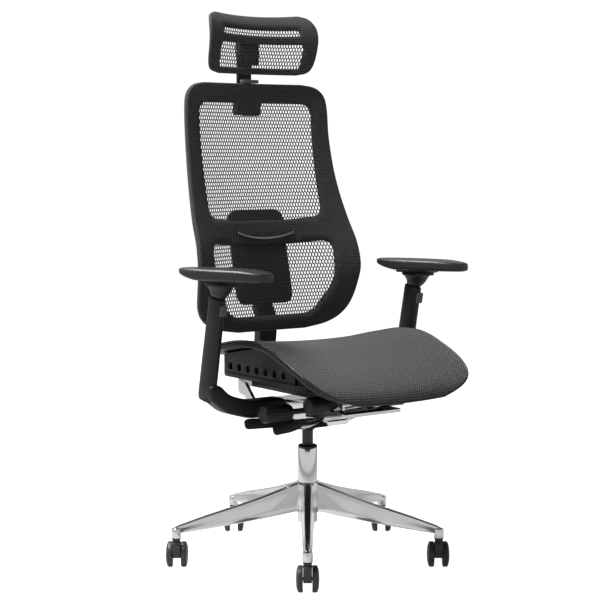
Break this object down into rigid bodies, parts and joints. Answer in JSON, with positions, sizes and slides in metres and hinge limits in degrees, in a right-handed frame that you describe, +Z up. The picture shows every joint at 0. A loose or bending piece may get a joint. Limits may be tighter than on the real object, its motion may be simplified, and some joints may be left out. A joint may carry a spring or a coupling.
{
  "type": "swivel office chair",
  "caption": "High-backed swivel office chair with a stretched mesh back and seat, tilting headrest, adjustable armrests and a wheeled star base.",
  "frame": {"origin": "on the floor, under the middle of the whole chair; the swivel axis is 12 mm in front of it", "axes": "+Z up, the sitter faces -Y, +X is the sitter's left"},
  "size_m": [0.7454, 0.7773, 1.3942],
  "materials": {
    "polished_aluminium": "polished",
    "chrome": "mirror",
    "black_steel": "gloss",
    "spring_steel": "satin",
    "black_plastic": "satin",
    "grey_plastic": "satin",
    "wheel_pu": "matt",
    "soft_pu": "soft satin",
    "back_mesh": "woven",
    "seat_mesh": "woven"
  },
  "bodies": {
    "base": {"star_base": "polished_aluminium", "gas_cylinder": "chrome", "guide_bush": "black_plastic"},
    "lift": {"gas_piston": "black_steel"},
    "mechanism": {"chassis": "polished_aluminium", "chassis_bush": "black_plastic", "tilt_spring": "spring_steel", "pivot_shaft": "spring_steel", "recline_shaft": "spring_steel"},
    "tension_knob": {"tension_knob": "black_plastic"},
    "height_lever": {"height_lever": "black_plastic"},
    "tilt_lever": {"tilt_lever": "black_plastic"},
    "carrier": {"seat_carrier": "black_plastic", "pivot_cap_left": "black_plastic", "pivot_cap_right": "black_plastic", "arm_upright_left": "black_plastic", "arm_upright_right": "black_plastic"},
    "seat": {"seat_pan": "black_plastic", "seat_rim": "black_plastic", "seat_mesh": "seat_mesh"},
    "back": {"recline_yoke": "polished_aluminium", "spine": "black_plastic", "back_frame": "black_plastic", "back_mesh": "back_mesh", "lumbar_bar": "black_steel", "headrest_bracket": "black_plastic", "headrest_clip": "grey_plastic"},
    "lumbar": {"lumbar_pad": "grey_plastic"},
    "headrest_stem": {"headrest_stem": "black_plastic", "headrest_pin": "spring_steel"},
    "headrest": {"headrest_frame": "black_plastic", "headrest_mesh": "back_mesh"},
    "caster_1": {"caster_stem_1": "black_steel", "caster_hood_1": "black_plastic"},
    "wheel_1_left": {"caster_wheel_1_left": "wheel_pu"},
    "wheel_1_right": {"caster_wheel_1_right": "wheel_pu"},
    "caster_2": {"caster_stem_2": "black_steel", "caster_hood_2": "black_plastic"},
    "wheel_2_left": {"caster_wheel_2_left": "wheel_pu"},
    "wheel_2_right": {"caster_wheel_2_right": "wheel_pu"},
    "caster_3": {"caster_stem_3": "black_steel", "caster_hood_3": "black_plastic"},
    "wheel_3_left": {"caster_wheel_3_left": "wheel_pu"},
    "wheel_3_right": {"caster_wheel_3_right": "wheel_pu"},
    "caster_4": {"caster_stem_4": "black_steel", "caster_hood_4": "black_plastic"},
    "wheel_4_left": {"caster_wheel_4_left": "wheel_pu"},
    "wheel_4_right": {"caster_wheel_4_right": "wheel_pu"},
    "caster_5": {"caster_stem_5": "black_steel", "caster_hood_5": "black_plastic"},
    "wheel_5_left": {"caster_wheel_5_left": "wheel_pu"},
    "wheel_5_right": {"caster_wheel_5_right": "wheel_pu"},
    "arm_post_left": {"arm_post_left": "black_plastic"},
    "arm_trigger_left": {"arm_trigger_left": "grey_plastic"},
    "pad_plate_left": {"pad_plate_left": "black_plastic"},
    "arm_pad_left": {"arm_pad_left": "soft_pu"},
    "arm_post_right": {"arm_post_right": "black_plastic"},
    "arm_trigger_right": {"arm_trigger_right": "grey_plastic"},
    "pad_plate_right": {"pad_plate_right": "black_plastic"},
    "arm_pad_right": {"arm_pad_right": "soft_pu"}
  },
  "joints": [
    {"name": "caster_swivel_1", "type": "hinge", "parent": "base", "child": "caster_1", "pos_m": [-0.2022, -0.2903, 0.07], "axis": [0, 0, 1], "continuous": true},
    {"name": "wheel_spin_1_left", "type": "hinge", "parent": "caster_1", "child": "wheel_1_left", "pos_m": [-0.19044, -0.27412, 0.032], "axis": [0.809, -0.5878, 0], "continuous": true},
    {"name": "wheel_spin_1_right", "type": "hinge", "parent": "caster_1", "child": "wheel_1_right", "pos_m": [-0.19044, -0.27412, 0.032], "axis": [0.809, -0.5878, 0], "continuous": true},
    {"name": "caster_swivel_2", "type": "hinge", "parent": "base", "child": "caster_2", "pos_m": [0.2022, -0.2903, 0.07], "axis": [0, 0, 1], "continuous": true},
    {"name": "wheel_spin_2_left", "type": "hinge", "parent": "caster_2", "child": "wheel_2_left", "pos_m": [0.21395, -0.27412, 0.032], "axis": [0.809, -0.5878, 0], "continuous": true},
    {"name": "wheel_spin_2_right", "type": "hinge", "parent": "caster_2", "child": "wheel_2_right", "pos_m": [0.21395, -0.27412, 0.032], "axis": [0.809, -0.5878, 0], "continuous": true},
    {"name": "caster_swivel_3", "type": "hinge", "parent": "base", "child": "caster_3", "pos_m": [0.32716, 0.0943, 0.07], "axis": [0, 0, 1], "continuous": true},
    {"name": "wheel_spin_3_left", "type": "hinge", "parent": "caster_3", "child": "wheel_3_left", "pos_m": [0.33892, 0.11048, 0.032], "axis": [0.809, -0.5878, 0], "continuous": true},
    {"name": "wheel_spin_3_right", "type": "hinge", "parent": "caster_3", "child": "wheel_3_right", "pos_m": [0.33892, 0.11048, 0.032], "axis": [0.809, -0.5878, 0], "continuous": true},
    {"name": "caster_swivel_4", "type": "hinge", "parent": "base", "child": "caster_4", "pos_m": [0, 0.332, 0.07], "axis": [0, 0, 1], "continuous": true},
    {"name": "wheel_spin_4_left", "type": "hinge", "parent": "caster_4", "child": "wheel_4_left", "pos_m": [0.01176, 0.34818, 0.032], "axis": [0.809, -0.5878, 0], "continuous": true},
    {"name": "wheel_spin_4_right", "type": "hinge", "parent": "caster_4", "child": "wheel_4_right", "pos_m": [0.01176, 0.34818, 0.032], "axis": [0.809, -0.5878, 0], "continuous": true},
    {"name": "caster_swivel_5", "type": "hinge", "parent": "base", "child": "caster_5", "pos_m": [-0.32716, 0.0943, 0.07], "axis": [0, 0, 1], "continuous": true},
    {"name": "wheel_spin_5_left", "type": "hinge", "parent": "caster_5", "child": "wheel_5_left", "pos_m": [-0.31541, 0.11048, 0.032], "axis": [0.809, -0.5878, 0], "continuous": true},
    {"name": "wheel_spin_5_right", "type": "hinge", "parent": "caster_5", "child": "wheel_5_right", "pos_m": [-0.31541, 0.11048, 0.032], "axis": [0.809, -0.5878, 0], "continuous": true},
    {"name": "seat_height", "type": "slide", "parent": "base", "child": "lift", "axis": [0, 0, 1], "range_m": [-0.035, 0.055]},
    {"name": "seat_swivel", "type": "hinge", "parent": "lift", "child": "mechanism", "pos_m": [0, -0.012, 0.346], "axis": [0, 0, 1], "continuous": true},
    {"name": "tension_turn", "type": "hinge", "parent": "mechanism", "child": "tension_knob", "pos_m": [-0.0553, -0.11, 0.402], "axis": [-1, 0, 0], "continuous": true},
    {"name": "height_lever_lift", "type": "hinge", "parent": "mechanism", "child": "height_lever", "pos_m": [-0.0553, -0.074, 0.37], "axis": [0, 1, 0], "range_deg": [0, 6], "stiffness_Nm_per_rad": 2},
    {"name": "tilt_lever_turn", "type": "hinge", "parent": "mechanism", "child": "tilt_lever", "pos_m": [-0.0553, -0.104, 0.367], "axis": [-1, 0, 0], "range_deg": [0, 30]},
    {"name": "recline", "type": "hinge", "parent": "mechanism", "child": "back", "pos_m": [0, 0.023, 0.402], "axis": [-1, 0, 0], "range_deg": [0, 22], "stiffness_Nm_per_rad": 90, "springref_deg": -20.05},
    {"name": "seat_tilt", "type": "hinge", "parent": "mechanism", "child": "carrier", "pos_m": [0, -0.212, 0.43], "axis": [-1, 0, 0], "range_deg": [0, 5.5]},
    {"name": "seat_depth", "type": "slide", "parent": "carrier", "child": "seat", "axis": [0, -1, 0], "range_m": [0, 0.05]},
    {"name": "lumbar_height", "type": "slide", "parent": "back", "child": "lumbar", "axis": [0, 0.2102, 0.9777], "range_m": [0, 0.025]},
    {"name": "headrest_height", "type": "slide", "parent": "back", "child": "headrest_stem", "axis": [0, 0, 1], "range_m": [0, 0.05]},
    {"name": "headrest_tilt", "type": "hinge", "parent": "headrest_stem", "child": "headrest", "pos_m": [0, 0.26, 1.3], "axis": [-1, 0, 0], "range_deg": [-15, 18]},
    {"name": "arm_height_left", "type": "slide", "parent": "carrier", "child": "arm_post_left", "axis": [0, -0.1994, 0.9799], "range_m": [0, 0.07]},
    {"name": "arm_trigger_pull_left", "type": "hinge", "parent": "arm_post_left", "child": "arm_trigger_left", "pos_m": [0.303, -0.09201, 0.67194], "axis": [-1, 0, 0], "range_deg": [0, 8], "stiffness_Nm_per_rad": 0.2},
    {"name": "pad_swivel_left", "type": "hinge", "parent": "arm_post_left", "child": "pad_plate_left", "pos_m": [0.303, -0.082, 0.725], "axis": [0, 0, 1], "range_deg": [-40, 9]},
    {"name": "pad_depth_left", "type": "slide", "parent": "pad_plate_left", "child": "arm_pad_left", "axis": [0.3584, -0.9336, 0], "range_m": [-0.025, 0.025]},
    {"name": "arm_height_right", "type": "slide", "parent": "carrier", "child": "arm_post_right", "axis": [0, -0.1994, 0.9799], "range_m": [0, 0.07]},
    {"name": "arm_trigger_pull_right", "type": "hinge", "parent": "arm_post_right", "child": "arm_trigger_right", "pos_m": [-0.303, -0.09201, 0.67194], "axis": [-1, 0, 0], "range_deg": [0, 8], "stiffness_Nm_per_rad": 0.2},
    {"name": "pad_swivel_right", "type": "hinge", "parent": "arm_post_right", "child": "pad_plate_right", "pos_m": [-0.303, -0.082, 0.725], "axis": [0, 0, 1], "range_deg": [-40, 9]},
    {"name": "pad_depth_right", "type": "slide", "parent": "pad_plate_right", "child": "arm_pad_right", "axis": [0.3584, -0.9336, 0], "range_m": [-0.025, 0.025]}
  ],
  "couplings": [
    {"joint": "seat_tilt", "follows": "recline", "ratio": 0.25}
  ]
}
